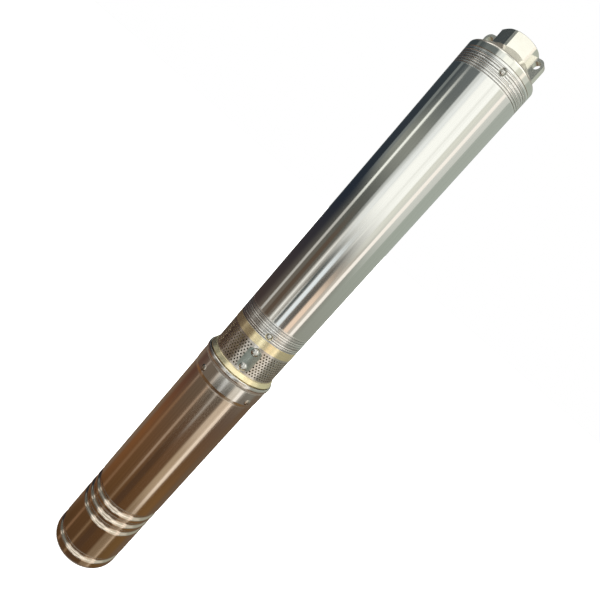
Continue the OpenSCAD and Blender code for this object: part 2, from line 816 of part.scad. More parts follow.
// One curved vane, an arc that starts on r_in and sweeps back to r_out
module vane_2d(r_in, r_out, sweep, thick) {
    start = [r_in, 0];
    end = [r_out * cos(sweep), r_out * sin(sweep)];
    chord = norm(end - start);
    heading = atan2(end[1] - start[1], end[0] - start[0]);
    arc_r = chord * 0.85;
    sag = sqrt(arc_r * arc_r - chord * chord / 4);
    intersection() {
        difference() {
            circle(r_out);
            circle(r_in);
        }
        translate(start) rotate(heading) intersection() {
            translate([chord / 2, sag]) difference() {
                circle(arc_r + thick / 2);
                circle(arc_r - thick / 2);
            }
            translate([-thick, -chord]) square([chord + 2 * thick, chord + thick / 2]);
        }
    }
}

module impeller(i) {
    z = stack_z + (i - 1) * stage_h + impeller_z;
    vane_top = shroud_t + impeller_outlet;
    color(polymer) translate([0, 0, z]) difference() {
        union() {
            ring(eye_r - 1.6, impeller_r, 0, shroud_t);
            ring(eye_r - 1.6, eye_r, -impeller_z + 0.6, impeller_z);
            translate([0, 0, vane_top]) cylinder(r = impeller_r, h = shroud_t);
            cylinder(r = hub_r, h = hub_top - impeller_z);
            translate([0, 0, shroud_t - eps]) linear_extrude(impeller_outlet + 2 * eps)
                for (k = [0 : vane_n - 1]) rotate(k * 360 / vane_n)
                    mirror([0, 1]) vane_2d(eye_r - 0.6, impeller_r - run, 75, 1.8);
        }
        translate([0, 0, -stage_h]) hex_bar(shaft_af + 2 * fit, 2 * stage_h);
    }
}

// Stage bowl: eye plate, outer wall, and a deck carried by the return vanes
module stage_bowl(i) {
    color(polymer) translate([0, 0, stack_z + (i - 1) * stage_h]) {
        ring(wear_ring_r, bowl_r, 0, plate_t);
        ring(bowl_in_r, bowl_r, 0, stage_h);
        ring(hub_r + run, deck_r, chamber_h, deck_t);
        translate([0, 0, chamber_h + deck_t - eps])
            linear_extrude(stage_h - chamber_h - deck_t - fit + eps)
                for (k = [0 : return_vane_n - 1]) rotate(k * 360 / return_vane_n)
                    vane_2d(return_in_r, bowl_in_r + 0.4, 70, 2);
    }
}

module wear_rings() {
    color(stainless) for (i = [0 : stage_n - 1])
        ring(eye_r + run, wear_ring_r - fit, stack_z + i * stage_h, plate_t + 0.4);
}

module top_bearing_spider() {
    color(polymer) {
        ring(bowl_in_r - 2, bowl_r, spider_z, spider_h);
        ring(bush_r + fit, bush_hub_r, spider_z, spider_h);
        for (i = [0 : 2]) rotate([0, 0, i * 120])
            translate([-arm_w / 2, bush_hub_r - 1, spider_z])
                cube([arm_w, bowl_in_r - bush_hub_r, spider_h]);
    }
}

module stack_spacer() {
    color(stainless) ring(bowl_in_r - 1, bowl_r, spider_z + spider_h, stack_top - spider_z - spider_h);
}

// Pump tube

band_edge = 1.6;
groove_run_out = 0.2;

// Half section of the grooves in a grip band that starts at z
module band_grooves(z, h) {
    n = floor((h - band_edge) / band_pitch);
    for (k = [0 : n - 1]) translate([tube_r + groove_run_out, z + band_edge + k * band_pitch])
        circle(band_depth + groove_run_out);
}

module pump_tube() {
    color(stainless) difference() {
        rotate_extrude() difference() {
            polygon([[tube_in_r, tube_z], [tube_r - edge_break, tube_z], [tube_r, tube_z + edge_break],
                [tube_r, tube_top - edge_break], [tube_r - edge_break, tube_top], [tube_in_r, tube_top]]);
            band_grooves(tube_z, lower_band_h);
            band_grooves(tube_top - upper_band_h, upper_band_h);
        }
        for (z = lock_zs) side_hole(0, lock_hole_d, tube_in_r - 2, tube_r + 2, z);
    }
}

// Screws that lock the tube to the intake and the head, seated in the tube's holes
module tube_lock_screws() {
    color(stainless) for (z = lock_zs)
        on_side(0, tube_in_r - fit, z) dome_screw(lock_screw, screw_grip - 0.5);
}

// Discharge head

// Half section of the head's outside
module head_section() {
    translate([0, stack_top]) square([tube_in_r - fit, head_spigot_l + eps]);
    polygon([[0, flange_z], [tube_r - edge_break, flange_z], [tube_r, flange_z + edge_break],
        [tube_r, shoulder_z - flange_edge], [0, shoulder_z - flange_edge]]);
    translate([0, flange_z]) square([tube_r - flange_edge, flange_h]);
    translate([tube_r - flange_edge, shoulder_z - flange_edge]) circle(flange_edge);
    polygon([[0, shoulder_z - eps], [tube_r - flange_edge, shoulder_z - eps],
        [hex_af / 2, hex_z], [0, hex_z]]);
}

// Half section of the water way, and of the relief behind the spigot's wall
module head_bore_section() {
    translate([0, stack_top - 1]) square([chamber_r, port_z - stack_top + 1]);
    translate([0, port_z - eps]) square([port_r, port_l + 1]);
    translate([chamber_r + seat_wall, stack_top - 1])
        square([tube_in_r - spigot_wall - chamber_r - seat_wall, head_spigot_l - 1]);
}

// Hexagon with turned corners and a chamfered top
module outlet_hex() {
    base_z = shoulder_z + 2;
    cone_h = hex_r;
    intersection() {
        translate([0, 0, base_z]) hex_bar(hex_af, head_top - base_z);
        translate([0, 0, base_z]) cylinder(r = hex_r - corner_turn, h = head_top - base_z);
        translate([0, 0, head_top - cone_h])
            cylinder(r1 = hex_af / 2 - 1 + cone_h * tan(60), r2 = hex_af / 2 - 1, h = cone_h);
    }
}

// Lug with an eye, in the plane of the axis
module rope_lug() {
    translate([0, lug_t / 2, 0]) rotate([90, 0, 0]) linear_extrude(lug_t) difference() {
        union() {
            translate([lug_orbit_r, lug_z]) circle(lug_r);
            translate([0, shoulder_z - 1]) square([lug_orbit_r + lug_r, lug_z - shoulder_z + 1]);
            translate([0, lug_z - 1]) square([lug_orbit_r, lug_r + 1]);
        }
        translate([lug_orbit_r, lug_z]) circle(d = eye_d);
    }
}

module discharge_head() {
    color(nickel) difference() {
        union() {
            rotate_extrude() head_section();
            rotate([0, 0, head_turn]) outlet_hex();
            for (a = [0, 180]) rotate([0, 0, head_turn - 30 + a]) rope_lug();
        }
        rotate_extrude() head_bore_section();
        side_hole(0, lock_screw[2] + 2 * fit, tube_in_r - screw_grip - 0.5, tube_r, upper_lock_z);
    }
}

// Check valve in the head

module valve_seat() {
    color(brass) rotate_extrude() difference() {
        translate([seat_bore_r, seat_z]) square([chamber_r - fit - seat_bore_r, seat_h]);
        translate([seat_bore_r, seat_z]) circle(2);
    }
}

module valve_guide() {
    color(polymer) difference() {
        union() {
            ring(port_r - 1, chamber_r - fit, guide_z, guide_t);
            translate([0, 0, guide_hub_z]) cylinder(r = guide_hub_r, h = port_z - guide_hub_z);
            for (i = [0 : 2]) rotate([0, 0, i * 120])
                translate([-1.75, 0, guide_z]) cube([3.5, port_r, guide_t]);
        }
        translate([0, 0, guide_hub_z - 1]) cylinder(r = stem_r + 2 * fit, h = port_z);
    }
}

module valve_poppet() {
    stem_top = guide_hub_z + guide_t;
    stop_r = spring_r - spring_wire_r - run;
    stop_z = guide_hub_z - valve_lift - 2 * fit;
    color(brass) {
        translate([0, 0, spring_z - eps]) cylinder(r = stop_r, h = stop_z - spring_z + eps);
        translate([0, 0, poppet_z]) cylinder(r = poppet_r, h = poppet_t);
        translate([0, 0, poppet_z + poppet_t - eps])
            cylinder(r = stem_r, h = stem_top - poppet_z - poppet_t);
        translate([0, 0, seat_z + 2]) cylinder(r = seat_bore_r - 3, h = poppet_z - seat_z - 2 + eps);
    }
}

module valve_seal() {
    color(rubber) ring(seat_bore_r - 3 + fit, poppet_r - 0.5, seal_washer_z, seal_washer_t);
}

// Round wire swept along a helix, closed at both ends
module valve_spring() {
    n = spring_turns * spring_rings;
    span = spring_h - 2 * spring_wire_r - 4 * fit;
    points = [for (i = [0 : n], s = [0 : spring_sides - 1])
        let (a = i * 360 / spring_rings, b = s * 360 / spring_sides, r = spring_r + spring_wire_r * cos(b))
        [r * cos(a), r * sin(a), i / n * span + spring_wire_r * sin(b)]];
    sides = [for (i = [0 : n - 1], s = [0 : spring_sides - 1])
        let (t = (s + 1) % spring_sides)
        [i * spring_sides + s, i * spring_sides + t,
         (i + 1) * spring_sides + t, (i + 1) * spring_sides + s]];
    caps = [[for (s = [spring_sides - 1 : -1 : 0]) s],
        [for (s = [0 : spring_sides - 1]) n * spring_sides + s]];
    color(stainless) translate([0, 0, spring_z + spring_wire_r + 2 * fit])
        polyhedron(points, concat(sides, caps), convexity = 8);
}

motor_shell();
bottom_cover();
o_ring(shell_in_r, cover_ring_z);  // bottom_o_ring
diaphragm();
lower_bearing_carrier();
outer_race(lower_bearing_z);  // lower_bearing_outer_race
inner_race(lower_bearing_z);  // lower_bearing_inner_race
ball_set(lower_bearing_z);  // lower_bearing_balls
stator_core();
stator_windings();
rotor_core();
motor_shaft();
outer_race(upper_bearing_z);  // upper_bearing_outer_race
inner_race(upper_bearing_z);  // upper_bearing_inner_race
ball_set(upper_bearing_z);  // upper_bearing_balls
motor_head();
o_ring(collar_in_r, head_ring_z);  // head_o_ring
seal_seat();
rotary_seal();
cable_gland();
collar_screws();
intake_housing();
intake_bolts();
strainer();
strainer_clip();
strainer_screws();
coupling();
pump_shaft();
shaft_sleeves();
shaft_bushes();
wear_rings();
top_bearing_spider();
stack_spacer();
pump_tube();
tube_lock_screws();
discharge_head();
valve_seat();
valve_guide();
valve_poppet();
valve_seal();
valve_spring();
for (i = [1 : stage_n]) stage_bowl(i);
for (i = [1 : stage_n]) impeller(i);
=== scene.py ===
import json
import math
from typing import NamedTuple

import bpy
from mathutils import Matrix, Vector


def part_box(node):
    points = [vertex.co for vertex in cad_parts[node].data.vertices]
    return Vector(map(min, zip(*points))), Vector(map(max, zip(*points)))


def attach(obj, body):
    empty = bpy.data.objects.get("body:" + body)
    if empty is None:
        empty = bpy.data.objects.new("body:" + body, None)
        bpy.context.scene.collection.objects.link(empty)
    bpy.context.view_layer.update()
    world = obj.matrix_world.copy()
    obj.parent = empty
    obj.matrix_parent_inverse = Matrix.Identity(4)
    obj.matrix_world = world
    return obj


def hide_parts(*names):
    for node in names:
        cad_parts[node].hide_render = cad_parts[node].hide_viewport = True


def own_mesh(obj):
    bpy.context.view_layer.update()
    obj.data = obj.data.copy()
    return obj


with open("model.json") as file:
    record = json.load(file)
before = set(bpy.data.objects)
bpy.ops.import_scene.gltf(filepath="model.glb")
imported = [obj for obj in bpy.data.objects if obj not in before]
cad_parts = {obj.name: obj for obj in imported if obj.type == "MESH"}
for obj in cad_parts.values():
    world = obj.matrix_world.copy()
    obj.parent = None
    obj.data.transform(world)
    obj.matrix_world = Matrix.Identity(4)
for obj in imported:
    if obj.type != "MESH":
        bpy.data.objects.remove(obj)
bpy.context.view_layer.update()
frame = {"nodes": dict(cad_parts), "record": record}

# Levels and sizes of the pump, in metres
HEIGHT = 0.8345
COLLAR_LEVEL = 0.3225
COLLAR_BLEND = 0.004
COLLAR_STEP = (0.3205, 0.3245)
COLLAR_BEAD = (0.3450, 0.3540)
BEAD_FOOT = (0.3448, 0.3486)
TUBE_LEVEL = 0.411
TUBE_TOP = 0.795
LOWER_BAND = 0.0235
UPPER_BAND = 0.0205
BAND_EDGE = 0.0016
BAND_PITCH = 0.0032
GROOVE_WIDTH = 0.0014
FLANGE_TOP = 0.8044
RIM_BLEND = 0.003
PORT_RADIUS = 0.02095
PORT_DEPTH = 0.022
THREAD_PITCH = 0.002309
THREAD_CREST = 0.00142
THREAD_SEAT = 0.0001
THREAD_START = HEIGHT - PORT_DEPTH + 0.004
THREAD_END = HEIGHT - 0.001
WIRE_RADIUS = 0.0006
COIL_RADIUS = 0.0047
COIL_TURNS = 4

# Shares of the pitch, and how finely the wound pieces are divided
ROOT_SHARE = 0.47
CREST_SHARE = 0.10
THREAD_STEPS = 72
COIL_STEPS = 48
WIRE_SIDES = 16
SMOOTH_ANGLE = math.radians(40)

# The camera's place and axes, and the turn of camera and studio about the pump
LENS_MM = 30
SENSOR_MM = 36
CAMERA_RIGHT = Vector((0.7498, 0.1408, 0.6465))
CAMERA_UP = Vector((-0.6616, 0.1578, 0.7330))
CAMERA_PLACE = Vector((0.00369, -0.5985, 0.5944))
VIEW_TURN = math.radians(-6)

FLOOR_SIZE = 30
FLOOR_LEVEL = -0.0005
SUN_STRENGTH = 3.2
SUN_ANGLE = math.radians(70)
SUN_TILT = (math.radians(18), math.radians(12), 0)

# Places of the colour sockets on a Mix node
MIX_FIRST, MIX_SECOND, MIX_RESULT = 6, 7, 2
# Most of a noise texture's values lie between these
NOISE_LOW, NOISE_HIGH = 0.3, 0.7
PLAIN = (1.0, 1.0, 1.0)


def shade_by_angle(piece):
    bpy.ops.object.select_all(action="DESELECT")
    piece.select_set(True)
    bpy.context.view_layer.objects.active = piece
    bpy.ops.object.shade_smooth_by_angle(angle=SMOOTH_ANGLE)


# Materials

class Finish:
    """A material for one of the pump's finishes, with its texture chains."""

    def __init__(self, name, color, metallic, roughness):
        self.material = bpy.data.materials.new(name)
        self.material.use_nodes = True
        self.nodes = self.material.node_tree.nodes
        self.links = self.material.node_tree.links
        self.shader = self.nodes["Principled BSDF"]
        self.shader.inputs["Base Color"].default_value = (*color, 1)
        self.shader.inputs["Metallic"].default_value = metallic
        self.shader.inputs["Roughness"].default_value = roughness
        self.coords = self.nodes.new("ShaderNodeTexCoord")
        self.bump_end = None

    def node(self, kind, **values):
        made = self.nodes.new(kind)
        for key, value in values.items():
            setattr(made, key, value)
        return made

    def mapped(self, scale):
        mapping = self.node("ShaderNodeMapping")
        mapping.inputs["Scale"].default_value = scale
        self.links.new(self.coords.outputs["Object"], mapping.inputs["Vector"])
        return mapping.outputs["Vector"]

    def noise(self, scale, detail=4.0, rough=0.55):
        texture = self.node("ShaderNodeTexNoise")
        texture.inputs["Scale"].default_value = 1.0
        texture.inputs["Detail"].default_value = detail
        texture.inputs["Roughness"].default_value = rough
        self.links.new(self.mapped(scale), texture.inputs["Vector"])
        return texture.outputs["Fac"]

    def wave(self, scale, direction, distortion=0.0):
        texture = self.node("ShaderNodeTexWave", bands_direction=direction)
        texture.inputs["Scale"].default_value = 1.0
        texture.inputs["Distortion"].default_value = distortion
        self.links.new(self.mapped(scale), texture.inputs["Vector"])
        return texture.outputs["Fac"]

    def cells(self, scale):
        texture = self.node("ShaderNodeTexVoronoi")
        texture.inputs["Scale"].default_value = 1.0
        self.links.new(self.mapped(scale), texture.inputs["Vector"])
        return texture.outputs["Distance"]

    def colors(self, factor, *stops):
        ramp = self.node("ShaderNodeValToRGB")
        elements = ramp.color_ramp.elements
        while len(elements) < len(stops):
            elements.new(0.5)
        for element, (place, color) in zip(elements, stops):
            element.position = place
            element.color = (*color, 1)
        self.links.new(factor, ramp.inputs["Fac"])
        self.links.new(ramp.outputs["Color"], self.shader.inputs["Base Color"])
        return ramp.outputs["Color"]

    def height(self):
        split = self.node("ShaderNodeSeparateXYZ")
        self.links.new(self.coords.outputs["Object"], split.inputs["Vector"])
        return split.outputs["Z"]

    def above(self, level, blend):
        step = self.node("ShaderNodeMapRange", interpolation_type="SMOOTHSTEP")
        step.inputs["From Min"].default_value = level - blend / 2
        step.inputs["From Max"].default_value = level + blend / 2
        self.links.new(self.height(), step.inputs["Value"])
        return step.outputs["Result"]

    def between(self, low, high):
        near = self.node("ShaderNodeMath", operation="COMPARE")
        near.inputs[1].default_value = (low + high) / 2
        near.inputs[2].default_value = (high - low) / 2
        self.links.new(self.height(), near.inputs[0])
        return near.outputs["Value"]

    def either(self, first, second):
        most = self.node("ShaderNodeMath", operation="MAXIMUM")
        self.links.new(first, most.inputs[0])
        self.links.new(second, most.inputs[1])
        return most.outputs["Value"]

    def grooves(self, zone, first, pitch, width):
        offset = self.node("ShaderNodeMath", operation="SUBTRACT")
        offset.inputs[1].default_value = first
        self.links.new(self.height(), offset.inputs[0])
        turn = self.node("ShaderNodeMath", operation="PINGPONG")
        turn.inputs[1].default_value = pitch / 2
        self.links.new(offset.outputs["Value"], turn.inputs[0])
        line = self.node("ShaderNodeMapRange", interpolation_type="SMOOTHSTEP")
        line.inputs["From Min"].default_value = width / 2
        line.inputs["From Max"].default_value = width / 4
        self.links.new(turn.outputs["Value"], line.inputs["Value"])
        inside = self.node("ShaderNodeMath", operation="MULTIPLY")
        self.links.new(line.outputs["Result"], inside.inputs[0])
        self.links.new(zone, inside.inputs[1])
        return inside.outputs["Value"]

    def tinted(self, color, factor, tint_low, tint_high):
        tint = self.node("ShaderNodeMix", data_type="RGBA")
        tint.inputs[MIX_FIRST].default_value = (*tint_low, 1)
        tint.inputs[MIX_SECOND].default_value = (*tint_high, 1)
        self.links.new(factor, tint.inputs["Factor"])
        both = self.node("ShaderNodeMix", data_type="RGBA", blend_type="MULTIPLY")
        both.inputs["Factor"].default_value = 1.0
        self.links.new(color, both.inputs[MIX_FIRST])
        self.links.new(tint.outputs[MIX_RESULT], both.inputs[MIX_SECOND])
        self.links.new(both.outputs[MIX_RESULT], self.shader.inputs["Base Color"])
        return both.outputs[MIX_RESULT]

    def rougher(self, factor, amount):
        rise = self.node("ShaderNodeMath", operation="MULTIPLY_ADD")
        rise.inputs[1].default_value = amount
        self.links.new(factor, rise.inputs[0])
        self.links.new(self.shader.inputs["Roughness"].links[0].from_socket, rise.inputs[2])
        self.links.new(rise.outputs["Value"], self.shader.inputs["Roughness"])

    def roughness(self, factor, low, high):
        span = self.node("ShaderNodeMapRange")
        span.inputs["From Min"].default_value = NOISE_LOW
        span.inputs["From Max"].default_value = NOISE_HIGH
        span.inputs["To Min"].default_value = low
        span.inputs["To Max"].default_value = high
        self.links.new(factor, span.inputs["Value"])
        self.links.new(span.outputs["Result"], self.shader.inputs["Roughness"])

    def bump(self, factor, strength, depth):
        made = self.node("ShaderNodeBump")
        made.inputs["Strength"].default_value = strength
        made.inputs["Distance"].default_value = depth
        self.links.new(factor, made.inputs["Height"])
        if self.bump_end:
            self.links.new(self.bump_end, made.inputs["Normal"])
        self.bump_end = made.outputs["Normal"]
        self.links.new(self.bump_end, self.shader.inputs["Normal"])


def polished_tube():
    made = Finish("polished_tube", (0.80, 0.80, 0.78), 1.0, 0.08)
    drawn = made.noise((900, 900, 2.0), 3)
    sheet = made.colors(drawn, (0.30, (0.90, 0.90, 0.88)), (0.70, (0.98, 0.98, 0.96)))
    low_band = made.between(TUBE_LEVEL, TUBE_LEVEL + LOWER_BAND)
    high_band = made.between(TUBE_TOP - UPPER_BAND, TUBE_TOP)
    bands = made.either(low_band, high_band)
    # Painted shade: thin dark lines along the grooves of both bands stand in for the shade inside each
    # groove
    low_groove_shade = made.grooves(low_band, TUBE_LEVEL + BAND_EDGE, BAND_PITCH, GROOVE_WIDTH)
    high_groove_shade = made.grooves(high_band, TUBE_TOP - UPPER_BAND + BAND_EDGE, BAND_PITCH, GROOVE_WIDTH)
    tone = made.tinted(sheet, bands, (0.85, 0.85, 0.85), PLAIN)
    tone = made.tinted(tone, low_groove_shade, PLAIN, (0.42, 0.42, 0.42))
    made.tinted(tone, high_groove_shade, PLAIN, (0.58, 0.58, 0.58))
    made.roughness(made.noise((260, 260, 3.0)), 0.08, 0.13)
    made.rougher(bands, 0.16)
    made.bump(made.noise((46, 46, 0.7), 2), 0.12, 0.0003)
    made.bump(drawn, 0.06, 0.00004)
    return made


def polished_motor():
    made = Finish("polished_motor", (0.72, 0.65, 0.57), 1.0, 0.10)
    drawn = made.noise((900, 900, 2.5), 3)
    tone = made.colors(drawn, (0.30, (0.75, 0.74, 0.71)), (0.70, (0.83, 0.82, 0.79)))
    # Painted reflection: below the collar the shell is tinted warm brown, and the warm default colour
    # above does the same, standing in for brown surroundings mirrored by the steel
    made.tinted(tone, made.above(COLLAR_LEVEL, COLLAR_BLEND), (0.91, 0.80, 0.70), PLAIN)
    made.roughness(made.noise((240, 240, 4.0)), 0.10, 0.17)
    made.rougher(made.either(made.between(*COLLAR_BEAD), made.between(*COLLAR_STEP)), 0.08)
    made.rougher(made.between(*BEAD_FOOT), 0.30)
    made.bump(made.noise((40, 40, 0.9), 2), 0.12, 0.0003)
    made.bump(drawn, 0.06, 0.00004)
    return made


def perforated_sheet():
    made = Finish("perforated_sheet", (0.60, 0.57, 0.53), 1.0, 0.28)
    patches = made.noise((120, 120, 120))
    made.colors(patches, (0.3, (0.60, 0.57, 0.53)), (0.7, (0.80, 0.77, 0.73)))
    made.roughness(made.noise((500, 500, 500)), 0.16, 0.30)
    made.bump(made.noise((900, 900, 900)), 0.12, 0.0001)
    return made


def plated_clip():
    made = Finish("plated_clip", (0.36, 0.41, 0.38), 1.0, 0.30)
    patches = made.noise((90, 90, 90))
    made.colors(patches, (0.3, (0.30, 0.35, 0.32)), (0.7, (0.44, 0.48, 0.44)))
    made.roughness(made.noise((400, 400, 40)), 0.24, 0.38)
    made.bump(made.noise((1200, 1200, 120)), 0.15, 0.00008)
    return made


def screw_steel(name, color):
    made = Finish(name, color, 1.0, 0.20)
    dark, light = ([part * share for part in color] for share in (0.9, 1.1))
    made.colors(made.noise((420, 420, 420)), (0.3, dark), (0.7, light))
    made.roughness(made.noise((900, 900, 900)), 0.16, 0.26)
    made.bump(made.noise((1600, 1600, 1600)), 0.06, 0.00006)
    return made


def turned_brass():
    made = Finish("turned_brass", (0.86, 0.76, 0.52), 0.90, 0.20)
    turned = made.noise((14, 14, 2600), 2)
    made.colors(turned, (0.3, (0.95, 0.82, 0.50)), (0.7, (1.0, 0.90, 0.62)))
    made.roughness(made.noise((60, 60, 900)), 0.16, 0.26)
    made.bump(turned, 0.08, 0.00004)
    return made


def nickelled_brass():
    made = Finish("nickelled_brass", (0.92, 0.90, 0.82), 1.0, 0.18)
    patches = made.noise((60, 60, 60))
    tone = made.colors(patches, (0.3, (0.90, 0.88, 0.80)), (0.7, (0.95, 0.93, 0.86)))
    polished_rim = made.above(FLANGE_TOP - RIM_BLEND, RIM_BLEND)
    made.tinted(tone, polished_rim, (0.88, 0.90, 0.92), PLAIN)
    made.roughness(made.noise((380, 380, 380)), 0.09, 0.13)
    made.rougher(polished_rim, 0.12)
    made.bump(made.noise((1300, 1300, 1300)), 0.05, 0.00006)
    return made


def machined_iron():
    made = Finish("machined_iron", (0.22, 0.23, 0.24), 1.0, 0.5)
    grain = made.cells((1400, 1400, 1400))
    made.colors(made.noise((160, 160, 160)), (0.3, (0.17, 0.18, 0.19)), (0.7, (0.29, 0.30, 0.31)))
    made.roughness(made.noise((500, 500, 500)), 0.42, 0.62)
    made.bump(grain, 0.30, 0.0002)
    return made


def seal_rubber():
    made = Finish("seal_rubber", (0.03, 0.03, 0.033), 0.0, 0.7)
    made.colors(made.noise((200, 200, 200)), (0.3, (0.022, 0.022, 0.024)), (0.7, (0.045, 0.045, 0.048)))
    made.roughness(made.noise((600, 600, 600)), 0.60, 0.82)
    made.bump(made.noise((1800, 1800, 1800)), 0.20, 0.0001)
    return made


def ground_steel(name, color):
    made = Finish(name, color, 1.0, 0.2)
    ground = made.noise((30, 30, 2200), 2)
    light = tuple(min(1.0, c * 1.14) for c in color)
    dark = tuple(c * 0.88 for c in color)
    made.colors(ground, (0.3, dark), (0.7, light))
    made.roughness(made.noise((80, 80, 800)), 0.15, 0.30)
    made.bump(ground, 0.15, 0.00005)
    return made


def stacked_laminations():
    made = Finish("stacked_laminations", (0.42, 0.43, 0.45), 1.0, 0.42)
    sheets = made.wave((0, 0, 320), "Z")
    made.colors(sheets, (0.0, (0.28, 0.29, 0.31)), (0.5, (0.46, 0.47, 0.49)))
    made.roughness(made.noise((300, 300, 900)), 0.34, 0.52)
    made.bump(sheets, 0.35, 0.00015)
    return made


def varnished_copper():
    made = Finish("varnished_copper", (0.66, 0.30, 0.13), 1.0, 0.32)
    strands = made.wave((90, 90, 240), "DIAGONAL", 2.0)
    made.colors(strands, (0.1, (0.42, 0.17, 0.07)), (0.6, (0.74, 0.36, 0.17)))
    made.roughness(made.noise((500, 500, 500)), 0.24, 0.42)
    made.bump(strands, 0.5, 0.0004)
    made.shader.inputs["Coat Weight"].default_value = 0.4
    return made


def lapped_ceramic():
    made = Finish("lapped_ceramic", (0.86, 0.84, 0.79), 0.0, 0.18)
    made.colors(made.noise((300, 300, 300)), (0.3, (0.82, 0.80, 0.74)), (0.7, (0.90, 0.88, 0.84)))
    made.roughness(made.noise((700, 700, 700)), 0.12, 0.26)
    made.bump(made.noise((2500, 2500, 2500)), 0.08, 0.00005)
    return made


def lapped_carbon():
    made = Finish("lapped_carbon", (0.04, 0.04, 0.042), 0.0, 0.4)
    made.colors(made.noise((400, 400, 400)), (0.3, (0.025, 0.025, 0.027)), (0.7, (0.06, 0.06, 0.062)))
    made.roughness(made.noise((700, 700, 700)), 0.32, 0.50)
    made.bump(made.noise((2200, 2200, 2200)), 0.10, 0.00006)
    return made


def moulded_plastic():
    made = Finish("moulded_plastic", (0.84, 0.82, 0.74), 0.0, 0.42)
    made.colors(made.noise((80, 80, 80)), (0.3, (0.80, 0.78, 0.69)), (0.7, (0.87, 0.86, 0.79)))
    made.roughness(made.noise((420, 420, 420)), 0.34, 0.52)
    made.bump(made.noise((1500, 1500, 1500)), 0.12, 0.00008)
    return made


FINISHES = {
    "motor_stainless": polished_motor(),
    "tube_stainless": polished_tube(),
    "strainer_stainless": perforated_sheet(),
    "screw_stainless": screw_steel("screw_steel", (0.68, 0.68, 0.65)),
    "brass": turned_brass(),
    "nickelled_brass": nickelled_brass(),
    "cast_iron": machined_iron(),
    "rubber": seal_rubber(),
    "bearing_steel": ground_steel("bearing_steel", (0.72, 0.72, 0.73)),
    "shaft_steel": ground_steel("shaft_steel", (0.62, 0.62, 0.62)),
    "laminations": stacked_laminations(),
    "windings": varnished_copper(),
    "seal_ceramic": lapped_ceramic(),
    "seal_carbon": lapped_carbon(),
    "stage_plastic": moulded_plastic(),
}
NODE_FINISHES = {
    "strainer_clip": plated_clip(),
    # Painted reflection: the collar screws get a darker, brownish copy of the screw steel, standing in
    # for the dark brown they mirror
    "collar_screws": screw_steel("collar_screw_painted_reflection", (0.50, 0.44, 0.38)),
}


def dress(piece, finish):
    piece.data.materials.clear()
    piece.data.materials.append(finish.material)


def dress_nodes():
    for entry in frame["record"]["subparts"]:
        name = entry["node"]
        dress(frame["nodes"][name], NODE_FINISHES.get(name, FINISHES[entry["material_slot"]]))


def wind(section, pitch, turns, steps):
    """Sweeps a closed outline up the pump's axis as a screw, and closes its ends."""
    turn = section.modifiers.new("turn", "SCREW")
    turn.axis = "Z"
    turn.steps = turn.render_steps = steps
    turn.screw_offset = pitch
    turn.iterations = turns
    bpy.ops.object.modifier_apply(modifier=turn.name)
    bpy.ops.object.mode_set(mode="EDIT")
    bpy.ops.mesh.select_all(action="SELECT")
    bpy.ops.mesh.remove_doubles(threshold=1e-6)
    bpy.ops.mesh.select_all(action="SELECT")
    bpy.ops.mesh.fill_holes(sides=0)
    bpy.ops.mesh.select_all(action="SELECT")
    bpy.ops.mesh.normals_make_consistent(inside=False)
    bpy.ops.object.mode_set(mode="OBJECT")


# Pipe thread inside the outlet

def port_thread():
    bpy.ops.object.select_all(action="DESELECT")
    bpy.ops.mesh.primitive_plane_add(size=1, location=(0, 0, 0))
    thread = bpy.context.active_object
    thread.name = "port_thread"
    outer, inner = PORT_RADIUS + THREAD_SEAT, PORT_RADIUS - THREAD_CREST
    half_root, half_crest = THREAD_PITCH * ROOT_SHARE, THREAD_PITCH * CREST_SHARE
    section = [(outer, -half_root), (inner, -half_crest), (outer, half_root), (inner, half_crest)]
    for vertex, (x, z) in zip(thread.data.vertices, section):
        vertex.co = (x, 0, THREAD_START + z)
    bpy.ops.object.mode_set(mode="EDIT")
    bpy.ops.mesh.select_all(action="SELECT")
    bpy.ops.mesh.delete(type="ONLY_FACE")
    bpy.ops.object.mode_set(mode="OBJECT")
    wind(thread, THREAD_PITCH, int((THREAD_END - THREAD_START) / THREAD_PITCH), THREAD_STEPS)
    shade_by_angle(thread)
    dress(thread, FINISHES["nickelled_brass"])
    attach(thread, "casing")


# Spring of the check valve, wound as a coil fixed to the casing; the real spring shortens as the poppet
# lifts

def valve_coil():
    low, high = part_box("valve_spring")
    bpy.ops.object.select_all(action="DESELECT")
    bpy.ops.mesh.primitive_circle_add(vertices=WIRE_SIDES, radius=WIRE_RADIUS,
                                      rotation=(math.pi / 2, 0, 0),
                                      location=(COIL_RADIUS, 0, low.z + WIRE_RADIUS))
    coil = bpy.context.active_object
    coil.name = "valve_coil"
    bpy.ops.object.transform_apply(location=True, rotation=True, scale=True)
    wind(coil, (high.z - low.z - 2 * WIRE_RADIUS) / COIL_TURNS, COIL_TURNS, COIL_STEPS)
    shade_by_angle(coil)
    dress(coil, FINISHES["shaft_steel"])
    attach(coil, "casing")
    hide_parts("valve_spring")
    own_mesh(coil)


# Camera, floor and light

def photo_camera():
    data = bpy.data.cameras.new("photo_camera")
    data.lens = LENS_MM
    data.sensor_width = SENSOR_MM
    camera = bpy.data.objects.new("photo_camera", data)
    bpy.context.scene.collection.objects.link(camera)
    back = CAMERA_RIGHT.cross(CAMERA_UP)
    turned = Matrix.Rotation(VIEW_TURN, 4, "Z")
    place = Matrix.Translation(CAMERA_PLACE)
    axes = Matrix((CAMERA_RIGHT, CAMERA_UP, back)).transposed().to_4x4()
    camera.matrix_world = turned @ place @ axes
    bpy.context.scene.camera = camera


